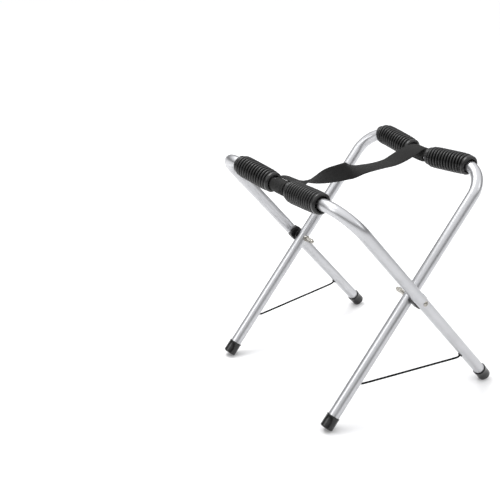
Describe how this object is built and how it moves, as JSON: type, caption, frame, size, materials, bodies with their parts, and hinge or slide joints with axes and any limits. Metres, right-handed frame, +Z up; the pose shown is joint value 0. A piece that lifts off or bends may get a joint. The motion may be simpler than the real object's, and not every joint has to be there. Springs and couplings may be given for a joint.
{
  "type": "folding rack",
  "caption": "Folding X-frame rack of bent tube with padded top bars, a twisted webbing strap slung between them, rubber feet and spread-limiting cords.",
  "frame": {"origin": "on the floor, under the middle of the pivot line", "axes": "+Z up; Y along the top bars and the pivot line, with the front at -Y; X across the fold, with the outer frame's bar at -X and the inner frame's at +X"},
  "size_m": [0.4489, 0.4806, 0.5151],
  "materials": {
    "tube": "satin drawn tube, faint lengthwise grain",
    "grip_foam": "matt closed-cell foam, ribbed",
    "foot_rubber": "smooth moulded rubber, slight gloss",
    "pivot_plastic": "moulded, satin",
    "hardware": "bright zinc plate",
    "webbing": "woven polypropylene webbing, slight sheen",
    "cord": "braided cord",
    "eyelet_plastic": "moulded, satin"
  },
  "bodies": {
    "outer_frame": {"outer_tube": "tube", "outer_grip_front": "grip_foam", "outer_grip_back": "grip_foam", "outer_foot_front": "foot_rubber", "outer_foot_back": "foot_rubber", "pivot_saddle_front": "pivot_plastic", "pivot_saddle_back": "pivot_plastic", "pivot_bolt_front": "hardware", "pivot_bolt_back": "hardware", "flat_washer_front": "hardware", "flat_washer_back": "hardware", "spring_washer_front": "hardware", "spring_washer_back": "hardware", "lock_nut_front": "hardware", "lock_nut_back": "hardware", "cap_nut_front": "hardware", "cap_nut_back": "hardware", "strap_loop_outer": "webbing", "strap_span": "webbing", "limit_cord_front": "cord", "limit_cord_back": "cord", "outer_eyelet_front": "eyelet_plastic", "outer_eyelet_back": "eyelet_plastic", "outer_knot_front": "cord", "outer_knot_back": "cord"},
    "inner_frame": {"inner_tube": "tube", "inner_grip_front": "grip_foam", "inner_grip_back": "grip_foam", "inner_foot_front": "foot_rubber", "inner_foot_back": "foot_rubber", "cup_washer_front": "hardware", "cup_washer_back": "hardware", "strap_loop_inner": "webbing", "inner_eyelet_front": "eyelet_plastic", "inner_eyelet_back": "eyelet_plastic", "inner_knot_front": "cord", "inner_knot_back": "cord"}
  },
  "joints": [
    {"name": "fold", "type": "hinge", "parent": "outer_frame", "child": "inner_frame", "pos_m": [0, 0, 0.2571], "axis": [0, -1, 0], "range_deg": [0, 71], "deforming": ["strap_span", "limit_cord_front", "limit_cord_back"]}
  ]
}
